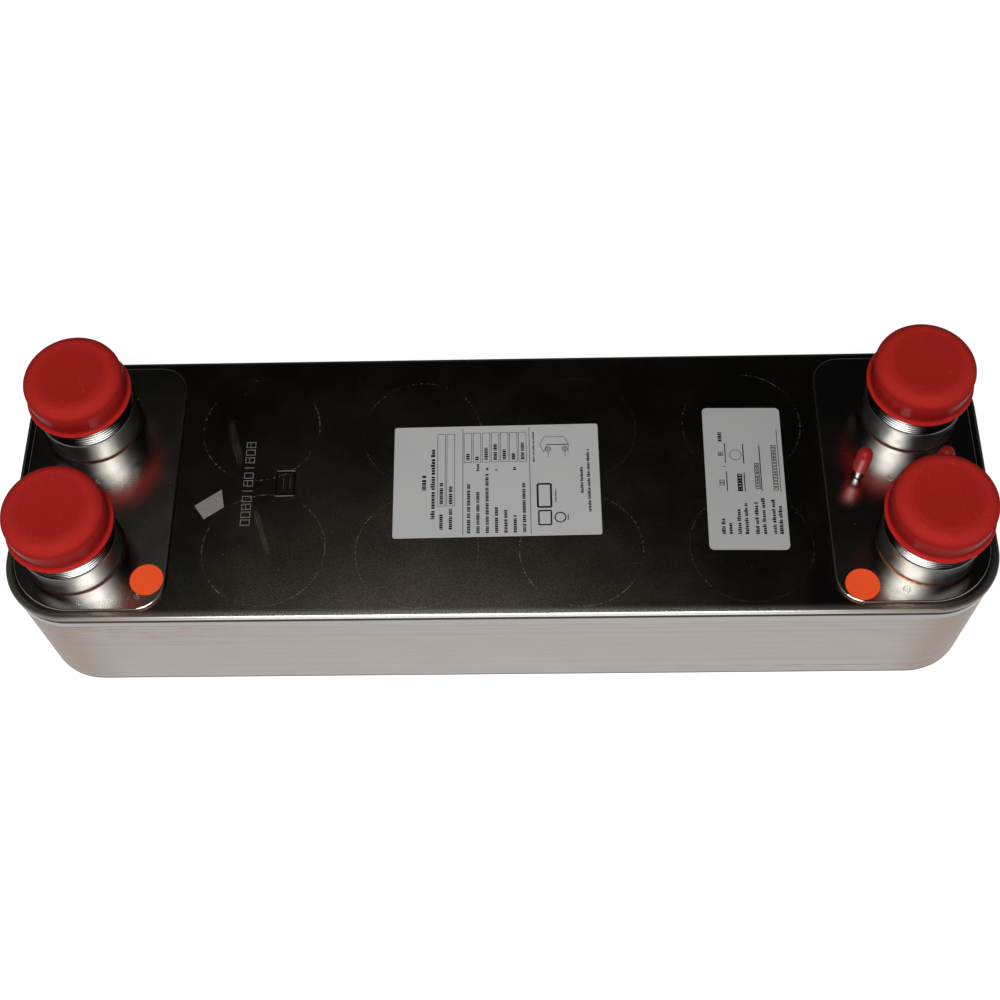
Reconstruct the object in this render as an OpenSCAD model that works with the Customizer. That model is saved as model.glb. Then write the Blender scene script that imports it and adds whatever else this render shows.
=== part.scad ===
// Brazed plate heat exchanger: a stack of pressed plates between two cover plates,
// with four threaded ports and two sensor tubes on its front face, all under push-on caps.
// It lies on its back: +X is along its length, +Y across it and +Z out of its front face.
// The origin is the centre of the underside.

/* [Plate stack] */
// Length of the front cover plate
plate_length = 612; // [560:1:800]
// Width of the front cover plate
plate_width = 185; // [170:1:260]
// Corner radius of the front cover plate in plan
plate_corner = 42; // [30:1:60]
// Height of one channel plate in the stack
plate_pitch = 1.7; // [1.5:0.01:2.5]
// Channel plates brazed together in one block
plates_per_block = 5; // [2:1:8]
// Blocks of channel plates in the stack
block_count = 10; // [4:1:14]
// Height of the notch between two plate edges
edge_notch = 0.36; // [0.2:0.02:0.8]
// Depth of the notch between two plate edges
edge_notch_depth = 0.14; // [0.1:0.02:0.8]
// How far the stack's sides stand in from the front cover's rim
stack_inset = 0.8; // [0.4:0.1:3]

/* [Covers] */
// Thickness of the back cover plate
back_cover = 2; // [1.5:0.1:6]
// Rounding of the back cover's lower edge
back_edge = 0.8; // [0.3:0.1:1.4]
// Height of the seal plate under the front cover
seal_height = 8; // [3:0.1:12]
// How far the seal plate stands in from the front cover's rim
seal_inset = 0.5; // [0.2:0.1:1.5]
// Rounding of the seal plate's upper edge, which leaves a groove under the cover
seal_edge = 2; // [0.5:0.1:2.4]
// Rounding of the seal plate's lower edge
seal_lower_edge = 0.5; // [0.3:0.1:0.6]
// Thickness of the front cover plate
front_cover = 4; // [3:0.1:8]
// Rounding of the front cover's upper edge
front_edge = 1.7; // [1:0.1:2.9]
// Rounding of the front cover's lower edge
front_lower_edge = 1; // [0.4:0.1:1]

/* [Port plates] */
// Length of each port plate, along the exchanger
port_plate_length = 96.5; // [92:0.5:110]
// Thickness of each port plate
port_plate_height = 2; // [1:0.1:4]
// Gap from the front cover's end to the port plate's outer end
port_plate_end_gap = 5.5; // [4:0.5:12]
// Gap from the front cover's side to the port plate's side
port_plate_side_gap = 5.5; // [4:0.5:12]
// How much smaller the port plate's outer corner radius is than the front cover's
port_plate_corner_step = 3; // [0:0.5:6]
// Radius of the port plate's inner corners
port_plate_inner_corner = 18; // [8:1:25]
// Rounding of the port plate's upper edge
port_plate_edge = 0.9; // [0.3:0.1:0.9]
// Rounding of the port plate's lower edge
port_plate_lower_edge = 0.05; // [0.05:0.05:0.1]
// Width and height of the copper seam round a port plate
plate_seam = 0.7; // [0.4:0.1:0.9]

/* [Ports] */
// Distance of a port's axis from the front cover's end
port_end_distance = 43.8; // [40:0.1:50]
// Distance of a port's axis from the front cover's side
port_side_distance = 46.4; // [42:0.1:50]
// Outer diameter of the G 2 pipe thread
thread_diameter = 59.614; // [56:0.001:62]
// Pitch of the thread
thread_pitch = 2.309; // [1.5:0.001:3]
// Depth of the thread
thread_depth = 1.479; // [0.5:0.001:1.8]
// Inner diameter of a port
port_bore = 50; // [40:0.5:52]
// Diameter of the smooth collar below the thread
collar_diameter = 60.2; // [60:0.1:64]
// Height of the collar above the port plate
collar_height = 20; // [10:0.5:30]
// Height of the threaded length above the collar
thread_length = 34; // [28:0.5:50]
// Rounding of the collar's upper edge
collar_edge = 0.4; // [0.2:0.1:0.6]
// Width of the relief groove at the foot of the thread
thread_relief = 1; // [0.6:0.1:1.6]
// Diameter of the spigot that a port has in the cover
spigot_diameter = 56; // [54:0.5:58]
// Radial brazing clearance round a spigot or a tube
braze_clearance = 0.05; // [0.02:0.01:0.1]
// Width and height of the copper seam round a port
port_seam = 1.2; // [0.4:0.1:1.6]

/* [Port caps] */
// Radial clearance between a cap and the thread
cap_clearance = 0.1; // [0.05:0.05:0.3]
// Wall thickness of a cap
cap_wall = 0.8; // [0.6:0.1:2]
// Thickness of a cap's dished centre
cap_top = 2.6; // [1.2:0.1:4]
// Height of a cap, from its brim to its crown
cap_height = 22.4; // [16:0.1:26]
// How far the brim stands out from the cap's wall
brim_width = 2.05; // [0.8:0.05:3]
// Thickness of the brim
brim_height = 2; // [1:0.1:3]
// Radius of the hollow between brim and wall
brim_fillet = 2.2; // [0.5:0.1:4]
// Radius of the cap's shoulder
cap_shoulder = 7; // [2:0.1:8]
// Radius of the dish in the cap's crown
dish_radius = 20; // [10:0.5:24]
// Depth of the dish
dish_depth = 0.8; // [0.3:0.1:1.5]

/* [Sensor tubes] */
// Distance of the inner sensor tube from the ports' axes, towards the middle
inner_sensor_in = 37; // [30:0.1:45]
// Distance of the outer sensor tube from the ports' axes, towards the end
outer_sensor_out = 12.4; // [0:0.1:20]
// Outer diameter of a sensor tube
sensor_diameter = 6; // [4:0.1:8]
// Inner diameter of a sensor tube
sensor_bore = 4; // [2:0.1:3.9]
// Height of a sensor tube above the port plate
sensor_height = 25.5; // [20:0.5:45]
// Width and height of the copper seam round a sensor tube
sensor_seam = 0.7; // [0.4:0.1:1.2]
// Outer diameter of a sensor cap
sensor_cap_diameter = 9.7; // [8.6:0.1:12]
// Length of a sensor cap
sensor_cap_length = 20; // [12:0.5:24]
// Radial clearance between a sensor cap and its tube
sensor_cap_clearance = 0.05; // [0.02:0.01:0.15]

/* [Labels] */
// Thickness of the labels and stickers
label_height = 0.2; // [0.1:0.05:0.5]
// Length of the nameplate
nameplate_length = 130.2; // [80:0.1:140]
// Width of the nameplate
nameplate_width = 79.5; // [40:0.1:100]
// Corner radius of the nameplate
nameplate_corner = 1.5; // [0.5:0.1:4]
// Offset of the nameplate's centre from the exchanger's middle, along it
nameplate_off_x = -0.8; // [-10:0.1:10]
// Offset of the nameplate's centre from the exchanger's middle line
nameplate_off_y = 0.6; // [-10:0.1:10]
// Turn of the nameplate, in degrees
nameplate_turn = 0.6; // [-3:0.1:3]
// Length of the test label
test_label_length = 49.3; // [30:0.1:60]
// Width of the test label
test_label_width = 101.4; // [60:0.1:120]
// Corner radius of the test label
test_label_corner = 3; // [0.5:0.1:6]
// Turn of the test label, in degrees
test_label_turn = -0.8; // [-3:0.1:3]
// Distance of the test label's centre from the right port plate's inner end
test_label_in = 48.7; // [38:0.1:80]
// Offset of the test label's centre from the exchanger's middle line
test_label_off_y = 0.4; // [-10:0.1:10]
// Radius of a round sticker
sticker_radius = 10.3; // [6:0.1:12]
// Distance of the left sticker's centre from its port plate's inner end
left_sticker_in = 11.6; // [11.5:0.1:16]
// Distance of the left sticker's centre from its port plate's near side
left_sticker_side = 20; // [15:0.1:24]
// Distance of the right sticker's centre from its port plate's inner end
right_sticker_in = 16; // [14:0.1:18]
// Distance of the right sticker's centre from its port plate's near side
right_sticker_side = 11.8; // [11.5:0.1:18]
// Length of the scrap of tape, along its longer side
tape_length = 19.9; // [10:0.1:30]
// Width of the scrap of tape
tape_width = 11.6; // [6:0.1:20]
// How much shorter the torn side of the tape is
tape_tear = 5.2; // [0:0.1:8]
// Distance of the tape's centre from the left port plate's inner end
tape_in = 24.2; // [18:0.1:60]
// Distance of the tape's centre from the exchanger's middle line
tape_off_middle = 14.2; // [0:0.1:50]
// Turn of the tape, in degrees
tape_turn = 35; // [0:1:90]

/* [Hidden] */
$fn = 96;

stack_bottom = back_cover;
block_height = plates_per_block * plate_pitch;
stack_top = stack_bottom + block_count * block_height;
seal_top = stack_top + seal_height;
cover_top = seal_top + front_cover;
pad_top = cover_top + port_plate_height;

pad_outer_x = plate_length / 2 - port_plate_end_gap;
pad_inner_x = pad_outer_x - port_plate_length;
pad_side_y = plate_width / 2 - port_plate_side_gap;
port_plate_outer_corner = plate_corner - port_plate_corner_step;

port_x = plate_length / 2 - port_end_distance;
port_y = plate_width / 2 - port_side_distance;

collar_top = pad_top + collar_height;
port_end = collar_top + thread_length;
thread_slope = thread_pitch / 3;
thread_turns = floor((thread_length - thread_relief - thread_slope - thread_depth) / thread_pitch);
spigot_hole = spigot_diameter / 2 + braze_clearance;
sensor_hole = sensor_diameter / 2 + braze_clearance;

cap_inside = thread_diameter / 2 + cap_clearance;
cap_outside = cap_inside + cap_wall;
cap_ceiling = port_end;
cap_crown = cap_ceiling + cap_top + dish_depth;
cap_brim = cap_crown - cap_height;
dish_sphere = (dish_radius * dish_radius + dish_depth * dish_depth) / (2 * dish_depth);

sensor_end = pad_top + sensor_height;
sensor_cap_inside = sensor_diameter / 2 + sensor_cap_clearance;
sensor_cap_outside = sensor_cap_diameter / 2;

// Each port: its name, and its side along X and along Y
PORTS = [
    ["left_near", [-1, -1]],
    ["left_far", [-1, 1]],
    ["right_near", [1, -1]],
    ["right_far", [1, 1]],
];
// Each end of the exchanger: its name and its side along X
ENDS = [["left", -1], ["right", 1]];
// Each sensor tube: its name and its distance along X
SENSORS = [["inner", port_x - inner_sensor_in], ["outer", port_x + outer_sensor_out]];

// Half section of a plate with rounded edges, from its middle out to x = reach
module rounded_section(reach, height, top_edge, bottom_edge) {
    square([reach - bottom_edge, bottom_edge]);
    translate([0, bottom_edge]) square([reach, height - bottom_edge - top_edge]);
    translate([0, height - top_edge]) square([reach - top_edge, top_edge]);
    translate([reach - top_edge, height - top_edge]) intersection() {
        circle(r = top_edge);
        square(top_edge);
    }
    translate([reach - bottom_edge, bottom_edge]) intersection() {
        circle(r = bottom_edge);
        translate([0, -bottom_edge]) square(bottom_edge);
    }
}

// A quarter turn of the section given as the child, about the corner's centre
module corner_of(x, y, turn) {
    translate([x, y, 0]) rotate([0, 0, turn]) rotate_extrude(angle = 90) children();
}

// A straight length of the section given as the child, facing +X before its turn
module side_of(x, y, turn, length) {
    translate([x, y, 0]) rotate([0, 0, turn]) translate([0, length / 2, 0])
        rotate([90, 0, 0]) linear_extrude(length) children();
}

// A rounded rectangle whose edge has the section given as the child: the section
// reaches out by the corner radius from the corner's centre
module rounded_plate(length, width, corner, height) {
    x = length / 2 - corner;
    y = width / 2 - corner;
    translate([-x, -y, 0]) cube([2 * x, 2 * y, height]);
    for (turn = [0, 180]) {
        rotate([0, 0, turn]) {
            corner_of(x, y, 0) children();
            corner_of(-x, y, 90) children();
            side_of(x, 0, 0, 2 * y) children();
            side_of(0, y, 90, 2 * x) children();
        }
    }
}

// Outline of a rounded rectangle
module rounded_outline(length, width, corner) {
    x = length / 2 - corner;
    y = width / 2 - corner;
    square([2 * x, width], center = true);
    square([length, 2 * y], center = true);
    for (sx = [-1, 1], sy = [-1, 1])
        translate([sx * x, sy * y]) circle(r = corner);
}

// Section of a block of channel plates: a straight edge for each plate, and a notch below it
module stack_section(reach) {
    notches = [for (i = [0:plates_per_block - 1])
        let (z = i * plate_pitch)
        each [
            [reach - edge_notch_depth, z],
            [reach, z + edge_notch],
            [reach, z + plate_pitch],
        ]];
    polygon(concat([[0, 0]], notches, [[0, block_height]]));
}

// Section of a ring that fills the corner between a wall at x = reach and a floor
module seam_section(reach, size) {
    polygon([[reach, 0], [reach + size, 0], [reach + size * 0.35, size * 0.35], [reach, size]]);
}

module back_cover_plate() {
    color("silver")
    rounded_plate(plate_length - 2 * stack_inset, plate_width - 2 * stack_inset,
                  plate_corner - stack_inset, back_cover)
        rounded_section(plate_corner - stack_inset, back_cover, back_edge / 2, back_edge);
}

module channel_plates(index) {
    corner = plate_corner - stack_inset;
    color("silver")
    translate([0, 0, stack_bottom + (index - 1) * block_height])
    rounded_plate(plate_length - 2 * stack_inset, plate_width - 2 * stack_inset, corner, block_height)
        stack_section(corner);
}

module seal_plate() {
    corner = plate_corner - seal_inset;
    color("lightsteelblue")
    translate([0, 0, stack_top])
    rounded_plate(plate_length - 2 * seal_inset, plate_width - 2 * seal_inset, corner, seal_height)
        rounded_section(corner, seal_height, seal_edge, seal_lower_edge);
}

module front_cover_plate() {
    color("dimgray")
    difference() {
        translate([0, 0, seal_top])
        rounded_plate(plate_length, plate_width, plate_corner, front_cover)
            rounded_section(plate_corner, front_cover, front_edge, front_lower_edge);
        port_holes();
        sensor_holes();
    }
}

// The holes that the ports' spigots stand in
module port_holes() {
    for (p = PORTS)
        at_port(p[1]) translate([0, 0, seal_top]) cylinder(r = spigot_hole, h = pad_top);
}

// The holes that the sensor tubes stand in
module sensor_holes() {
    for (s = SENSORS)
        translate([s[1], 0, seal_top]) cylinder(r = sensor_hole, h = pad_top);
}

// Moves its child to a port's axis
module at_port(side) {
    translate([side[0] * port_x, side[1] * port_y, 0]) children();
}

// Runs round a port plate, whose inner end faces the middle: the child is the section from
// x = 0, at $reach inwards from the outline, to x = $reach on the outline
module round_port_plate() {
    outer = port_plate_outer_corner;
    inner = port_plate_inner_corner;
    straight_x = port_plate_length - inner - outer;
    middle_x = pad_inner_x + inner + straight_x / 2;
    for (sy = [0, 1])
        mirror([0, sy, 0]) {
            corner_of(pad_outer_x - outer, pad_side_y - outer, 0) let ($reach = outer) children();
            corner_of(pad_inner_x + inner, pad_side_y - inner, 90) let ($reach = inner) children();
            side_of(middle_x, pad_side_y - outer, 90, straight_x) let ($reach = outer) children();
        }
    side_of(pad_outer_x - outer, 0, 0, 2 * (pad_side_y - outer)) let ($reach = outer) children();
    side_of(pad_inner_x + inner, 0, 180, 2 * (pad_side_y - inner)) let ($reach = inner) children();
}

module port_plate(side) {
    middle_length = port_plate_length - port_plate_inner_corner - port_plate_outer_corner;
    middle_side = pad_side_y - port_plate_outer_corner;
    color("silver")
    difference() {
        mirror([side < 0 ? 1 : 0, 0, 0]) translate([0, 0, cover_top]) {
            translate([pad_inner_x + port_plate_inner_corner, -middle_side, 0])
                cube([middle_length, 2 * middle_side, port_plate_height]);
            round_port_plate()
                rounded_section($reach, port_plate_height, port_plate_edge, port_plate_lower_edge);
        }
        port_holes();
        sensor_holes();
    }
}

module port_plate_seam(side) {
    color("peru")
    mirror([side < 0 ? 1 : 0, 0, 0]) translate([0, 0, cover_top])
        round_port_plate() seam_section($reach, plate_seam);
}

// Half section of a port: spigot, collar and thread
module port_section() {
    crest = thread_diameter / 2;
    root = crest - thread_depth;
    collar = collar_diameter / 2;
    flat = thread_pitch / 6;
    start = collar_top + thread_relief + thread_slope;
    turns = [for (i = [0:thread_turns - 1])
        let (z = start + i * thread_pitch)
        each [
            [crest, z],
            [root, z + thread_slope],
            [root, z + thread_slope + flat],
            [crest, z + 2 * thread_slope + flat],
        ]];
    polygon(concat(
        [
            [port_bore / 2, seal_top],
            [spigot_diameter / 2, seal_top],
            [spigot_diameter / 2, pad_top],
            [collar, pad_top],
            [collar, collar_top - collar_edge],
            [collar - collar_edge, collar_top],
            [root, collar_top],
            [root, collar_top + thread_relief],
        ],
        turns,
        [
            [crest, port_end - thread_depth],
            [root, port_end],
            [port_bore / 2, port_end],
        ]
    ));
}

module port(side) {
    color("gainsboro")
    at_port(side) rotate_extrude() port_section();
}

module port_seam_ring(side) {
    color("peru")
    at_port(side) translate([0, 0, pad_top])
        rotate_extrude() seam_section(collar_diameter / 2, port_seam);
}

// Half section of a port cap, with its hollow neck, round shoulder and dished crown
module port_cap_section() {
    brim = cap_outside + brim_width;
    lip = brim_height / 2;
    difference() {
        union() {
            translate([0, cap_brim]) square([cap_outside, cap_height - cap_shoulder]);
            translate([0, cap_brim]) square([cap_outside - cap_shoulder, cap_height]);
            translate([cap_outside - cap_shoulder, cap_crown - cap_shoulder])
                intersection() {
                    circle(r = cap_shoulder);
                    square(cap_shoulder);
                }
            translate([0, cap_brim]) square([brim - lip, brim_height]);
            translate([brim - lip, cap_brim + lip]) circle(r = lip);
            difference() {
                translate([cap_outside - cap_wall / 2, cap_brim + brim_height])
                    square([cap_wall / 2 + min(brim_fillet, brim_width - lip / 2), brim_fillet]);
                translate([cap_outside + brim_fillet, cap_brim + brim_height + brim_fillet])
                    circle(r = brim_fillet);
            }
        }
        polygon([
            [-1, cap_brim - 1],
            [cap_inside, cap_brim - 1],
            [cap_inside, cap_ceiling - thread_depth],
            [cap_inside - thread_depth, cap_ceiling],
            [-1, cap_ceiling],
        ]);
    }
}

module port_cap(side) {
    color("firebrick")
    at_port(side) difference() {
        rotate_extrude() port_cap_section();
        translate([0, 0, cap_crown - dish_depth + dish_sphere]) sphere(r = dish_sphere);
    }
}

module sensor_tube(x) {
    color("gainsboro")
    translate([x, 0, seal_top]) difference() {
        cylinder(d = sensor_diameter, h = sensor_end - seal_top);
        translate([0, 0, -1]) cylinder(d = sensor_bore, h = sensor_end - seal_top + 2);
    }
}

module sensor_seam_ring(x) {
    color("peru")
    translate([x, 0, pad_top]) rotate_extrude() seam_section(sensor_diameter / 2, sensor_seam);
}

module sensor_cap(x) {
    tip = sensor_end + sensor_cap_outside;
    color("crimson")
    translate([x, 0, 0]) difference() {
        union() {
            translate([0, 0, tip - sensor_cap_length])
                cylinder(r = sensor_cap_outside, h = sensor_cap_length - sensor_cap_outside);
            translate([0, 0, sensor_end]) sphere(r = sensor_cap_outside);
        }
        translate([0, 0, tip - sensor_cap_length - 1])
            cylinder(r = sensor_cap_inside, h = sensor_end - tip + sensor_cap_length + 1);
    }
}

module nameplate() {
    color("lightgray")
    translate([nameplate_off_x, nameplate_off_y, cover_top]) rotate([0, 0, nameplate_turn])
        linear_extrude(label_height)
            rounded_outline(nameplate_length, nameplate_width, nameplate_corner);
}

module test_label() {
    color("lightgray")
    translate([pad_inner_x - test_label_in, test_label_off_y, cover_top]) rotate([0, 0, test_label_turn])
        linear_extrude(label_height)
            rounded_outline(test_label_length, test_label_width, test_label_corner);
}

module sticker(side, from_end, from_side) {
    color("orangered")
    translate([side * (pad_inner_x + from_end), -pad_side_y + from_side, pad_top])
        cylinder(r = sticker_radius, h = label_height);
}

module tape_scrap() {
    end = tape_length / 2;
    side = tape_width / 2;
    color("darkgray")
    translate([-pad_inner_x + tape_in, -tape_off_middle, cover_top]) rotate([0, 0, tape_turn])
        linear_extrude(label_height)
            polygon([[-end, -side], [end - tape_tear, -side], [end, side], [-end, side]]);
}

back_cover_plate();
for (i = [1:block_count])
    channel_plates(i);
seal_plate();
front_cover_plate();
for (e = ENDS) {
    port_plate(e[1]);
    port_plate_seam(e[1]);
}
for (p = PORTS) {
    port(p[1]);
    port_seam_ring(p[1]);
    port_cap(p[1]);
}
for (s = SENSORS) {
    sensor_tube(s[1]);
    sensor_seam_ring(s[1]);
    sensor_cap(s[1]);
}
nameplate();
test_label();
sticker(-1, left_sticker_in, left_sticker_side);  // sticker_left
sticker(1, right_sticker_in, right_sticker_side);  // sticker_right
tape_scrap();
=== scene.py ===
import math
import random

import bmesh
import bpy
from mathutils import Matrix, Vector


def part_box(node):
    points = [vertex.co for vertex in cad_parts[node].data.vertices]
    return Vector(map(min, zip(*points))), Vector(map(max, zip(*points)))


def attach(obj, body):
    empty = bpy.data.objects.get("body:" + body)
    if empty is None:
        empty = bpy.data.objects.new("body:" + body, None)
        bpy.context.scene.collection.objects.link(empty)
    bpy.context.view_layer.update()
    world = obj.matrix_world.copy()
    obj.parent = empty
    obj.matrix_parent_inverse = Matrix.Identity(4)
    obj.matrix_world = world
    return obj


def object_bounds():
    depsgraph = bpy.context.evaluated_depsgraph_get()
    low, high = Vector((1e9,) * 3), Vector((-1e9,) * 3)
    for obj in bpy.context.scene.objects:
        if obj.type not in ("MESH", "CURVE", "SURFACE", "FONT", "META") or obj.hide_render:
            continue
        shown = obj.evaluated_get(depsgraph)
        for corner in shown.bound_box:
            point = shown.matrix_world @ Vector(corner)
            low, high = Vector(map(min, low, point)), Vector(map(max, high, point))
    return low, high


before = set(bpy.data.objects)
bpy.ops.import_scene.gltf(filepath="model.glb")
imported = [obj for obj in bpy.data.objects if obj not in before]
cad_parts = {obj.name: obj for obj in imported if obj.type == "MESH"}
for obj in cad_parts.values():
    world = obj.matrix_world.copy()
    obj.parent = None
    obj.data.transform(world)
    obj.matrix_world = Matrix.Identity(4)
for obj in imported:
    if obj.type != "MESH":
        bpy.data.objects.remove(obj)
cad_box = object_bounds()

# Everything is in metres, in the frame's axes. Sizes below are written in millimetres times MM.
MM = 0.001
scene = bpy.context.scene

# Sizes that the part's source also has
COVER_CORNER = 42 * MM
COLLAR_HEIGHT = 20 * MM
THREAD_DIAMETER = 59.614 * MM
NAMEPLATE_TURN = 0.6
TEST_LABEL_TURN = -0.8

# Heights and places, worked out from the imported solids
cover_low, cover_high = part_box("front_cover_plate")
stack_low, stack_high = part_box("channel_plates_1")[0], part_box("channel_plates_10")[1]
pad_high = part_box("port_plate_right")[1]
ring_low, ring_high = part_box("port_seam_right_near")
cap_low, cap_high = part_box("port_cap_right_near")
cover_top = cover_high.z
pad_top = pad_high.z
collar_top = pad_top + COLLAR_HEIGHT
thread_radius = THREAD_DIAMETER / 2
port_x = (ring_low.x + ring_high.x) / 2
port_y = -(ring_low.y + ring_high.y) / 2
seam_radius = (ring_high.x - ring_low.x) / 2

# The eight round press marks on the cover, in two rows: centre and radius, in millimetres
PRESS_MARKS = [
    (-152.6, 40.3, 37.6), (-48.6, 35.5, 37.8), (50.4, 37.3, 37.8), (155.6, 39.0, 37.6),
    (-145.5, -46.4, 38.4), (-50.0, -48.7, 38.2), (51.5, -48.5, 38.2), (155.9, -47.5, 37.8),
]

# How far the print stands above its label, and the struck and pressed marks above the cover
PRINT_HEIGHT = 0.02 * MM
STRUCK_HEIGHT = 0.09 * MM
PRESSED_HEIGHT = 0.10 * MM

# The row of dot-struck cells: the near left end of the first, in millimetres, and the cells' own sizes
STRUCK_START = (-161.3, -29.2)
CELL_DEPTH = 5.6
CELL_BREADTH = 3.7
CELL_PITCH = 5.6


def srgb(red, green, blue):
    """A colour written as 0 to 255 screen values, as the renderer's linear values."""
    def linear(value):
        value /= 255
        return value / 12.92 if value <= 0.04045 else ((value + 0.055) / 1.055) ** 2.4
    return (linear(red), linear(green), linear(blue), 1.0)


# ---------------------------------------------------------------- node trees

class Nodes:
    """A node tree, with short calls for the nodes that most trees here use.

    Lengths are given in metres. Masks run from 0 to 1."""

    def __init__(self, tree, coordinates="Object"):
        self.tree = tree
        self.place = self.node("ShaderNodeTexCoord").outputs[coordinates]
        self.x, self.y, self.z = self.node("ShaderNodeSeparateXYZ", {0: self.place}).outputs

    def node(self, kind, inputs=None, **settings):
        """A node with its settings made and its inputs fed by number or name."""
        made = self.tree.nodes.new(kind)
        for key, value in settings.items():
            setattr(made, key, value)
        for key, value in (inputs or {}).items():
            self.feed(made.inputs[key], value)
        return made

    def feed(self, socket, value):
        """Links a socket to another node's output, or writes a plain value in it."""
        if isinstance(value, bpy.types.NodeSocket):
            self.tree.links.new(value, socket)
        else:
            socket.default_value = value

    def math(self, operation, first, second=0.0):
        """A sum or a comparison of two numbers, or a function of the first."""
        return self.node("ShaderNodeMath", {0: first, 1: second}, operation=operation).outputs[0]

    def vector(self, operation, first, second):
        """A vector sum or product, whose node has both a vector and a plain number to give."""
        return self.node("ShaderNodeVectorMath", {0: first, 1: second}, operation=operation)

    def times(self, first, *others):
        """The product of several numbers."""
        for other in others:
            first = self.math("MULTIPLY", first, other)
        return first

    def most(self, first, *others):
        """The largest of several masks."""
        for other in others:
            first = self.math("MAXIMUM", first, other)
        return first

    def size(self, value):
        """A number without its sign."""
        return self.math("ABSOLUTE", value)

    def gap(self, first, second):
        """How far apart two numbers are."""
        return self.size(self.math("SUBTRACT", first, second))

    def hypotenuse(self, first, second):
        """The length of a step that goes so far one way and so far across it."""
        squares = self.math("ADD", self.math("POWER", first, 2), self.math("POWER", second, 2))
        return self.math("SQRT", squares)

    def fade(self, value, start, end, low=0.0, high=1.0, form="SMOOTHSTEP"):
        """Runs from low at start to high at end, and stays there beyond."""
        inputs = {"Value": value, "From Min": start, "From Max": end, "To Min": low, "To Max": high}
        return self.node("ShaderNodeMapRange", inputs, interpolation_type=form).outputs[0]

    def mix(self, factor, first, second):
        """Blends two colours."""
        return self.node("ShaderNodeMix", {0: factor, 6: first, 7: second}, data_type="RGBA").outputs[2]

    def blend(self, factor, first, second):
        """Blends two numbers."""
        return self.node("ShaderNodeMix", {0: factor, 2: first, 3: second}, data_type="FLOAT").outputs[0]


# ---------------------------------------------------------------- camera, floor and light

def make_camera():
    """The photograph's view: from the front and well above, turned very slightly."""
    data = bpy.data.cameras.new("camera")
    data.sensor_width = 36.0
    data.lens = 54.43
    data.shift_x = 0.01006
    data.clip_start = 0.01
    data.clip_end = 50.0
    camera = bpy.data.objects.new("camera", data)
    scene.collection.objects.link(camera)
    camera.location = (0.02329, -0.45802, 0.93613)
    camera.rotation_mode = "YXZ"
    camera.rotation_euler = (0.4877, 0.0364, -0.0141)
    scene.camera = camera


def make_floor():
    """A wide pale floor that shows as white and keeps the object's soft shadow."""
    half = 12.0
    corners = [(-half, -half, 0), (half, -half, 0), (half, half, 0), (-half, half, 0)]
    mesh = bpy.data.meshes.new("floor")
    mesh.from_pydata(corners, [], [(0, 1, 2, 3)])
    floor = bpy.data.objects.new("floor", mesh)
    floor.location.z = cad_box[0].z
    scene.collection.objects.link(floor)
    mesh.materials.append(floor_white())


def floor_white():
    """Matt grey that adds its own light to what the camera and polished steel see of it."""
    material = bpy.data.materials.new("floor_white")
    material.use_nodes = True
    material.node_tree.nodes.clear()
    tree = Nodes(material.node_tree)
    rays = tree.node("ShaderNodeLightPath").outputs
    # steel mirrors the floor before the object as pale, and the floor behind it as dark
    nearer = tree.fade(tree.y, 0.20, 0.0, 0.10, 0.72, "LINEAR")
    seen = tree.times(rays["Is Camera Ray"], 0.80)
    mirrored = tree.times(rays["Is Glossy Ray"], nearer)
    matt = tree.node("ShaderNodeBsdfDiffuse", {"Color": (0.50, 0.50, 0.50, 1)}).outputs[0]
    light = tree.node("ShaderNodeEmission", {"Strength": tree.math("ADD", seen, mirrored)}).outputs[0]
    total = tree.node("ShaderNodeAddShader", {0: matt, 1: light}).outputs[0]
    tree.node("ShaderNodeOutputMaterial", {"Surface": total})
    return material


def make_world():
    """A dark studio, pale low in front, with one soft overhead panel that polished steel mirrors."""
    world = bpy.data.worlds.new("studio")
    scene.world = world
    world.use_nodes = True
    tree = Nodes(world.node_tree, "Generated")

    # pale near the horizon and towards the front, dark elsewhere
    low = tree.fade(tree.z, 0.62, 0.42)
    front = tree.fade(tree.y, 0.10, -0.60, 0.04, 1.0)
    studio = tree.mix(tree.times(low, front), (0.003, 0.003, 0.003, 1), (0.9, 0.9, 0.9, 1))

    # the overhead panel: bright round its middle, fading outwards
    middle = Vector((-0.075, 0.25, 0.965)).normalized()
    spread = math.radians(6.8) ** 2 / 2
    nearness = tree.vector("DOT_PRODUCT", tree.place, middle).outputs["Value"]
    bell = tree.math("EXPONENT", tree.math("DIVIDE", tree.math("SUBTRACT", nearness, 1.0), spread))
    panel = tree.node("ShaderNodeVectorMath", {0: (0.71, 0.67, 0.60), "Scale": bell}, operation="SCALE")
    mirrored = tree.vector("ADD", studio, panel.outputs[0]).outputs[0]

    # the camera sees a pale backdrop, level in tone with the far floor
    to_camera = tree.node("ShaderNodeLightPath").outputs["Is Camera Ray"]
    seen = tree.mix(to_camera, mirrored, (0.81, 0.81, 0.81, 1))
    tree.feed(world.node_tree.nodes["Background"].inputs["Color"], seen)


def make_key_light():
    """One tall soft box above the camera, a little to its left, aimed at the middle of the cover."""
    data = bpy.data.lights.new("key", "AREA")
    data.shape = "RECTANGLE"
    data.size = 0.5
    data.size_y = 0.8
    data.energy = 17.5
    lamp = bpy.data.objects.new("key", data)
    scene.collection.objects.link(lamp)
    lamp.location = (-0.06, -0.66, 1.38)
    aim = Vector((0, 0, cover_top)) - lamp.location
    lamp.rotation_euler = aim.to_track_quat("-Z", "Y").to_euler()


# ---------------------------------------------------------------- materials

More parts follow.
